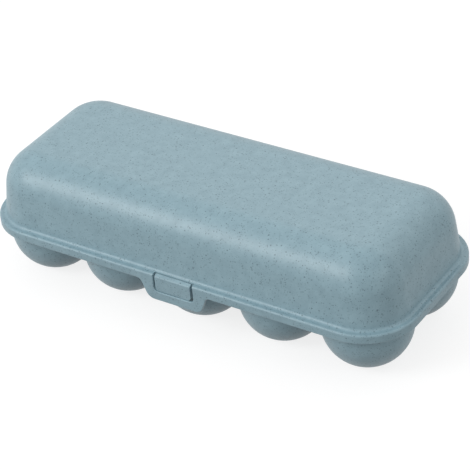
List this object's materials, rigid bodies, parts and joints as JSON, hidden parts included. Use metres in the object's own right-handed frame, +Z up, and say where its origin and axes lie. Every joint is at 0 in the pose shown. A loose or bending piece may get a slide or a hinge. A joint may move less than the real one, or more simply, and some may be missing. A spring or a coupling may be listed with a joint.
{
  "type": "egg carrier",
  "caption": "Moulded egg carrier: a tray of round cups under a domed lid that swings on clip hinges at the back and catches at the front.",
  "frame": {"origin": "on the surface that it stands on, under the middle of the closed carrier's outline, hinges included", "axes": "+Z up; +X along the long side; -Y towards the front, where the catch is; +Y towards the hinges"},
  "size_m": [0.2702, 0.119, 0.075],
  "materials": {
    "moulded_plastic": "satin grey-blue moulded plastic with fine darker plant-fibre specks"
  },
  "bodies": {
    "base": {"base": "moulded_plastic", "front_cups": "moulded_plastic", "back_cups": "moulded_plastic"},
    "lid": {"lid": "moulded_plastic"}
  },
  "joints": [
    {"name": "lid_hinge", "type": "hinge", "parent": "base", "child": "lid", "pos_m": [0, 0.05582, 0.0285], "axis": [-1, 0, 0], "range_deg": [0, 150]}
  ]
}
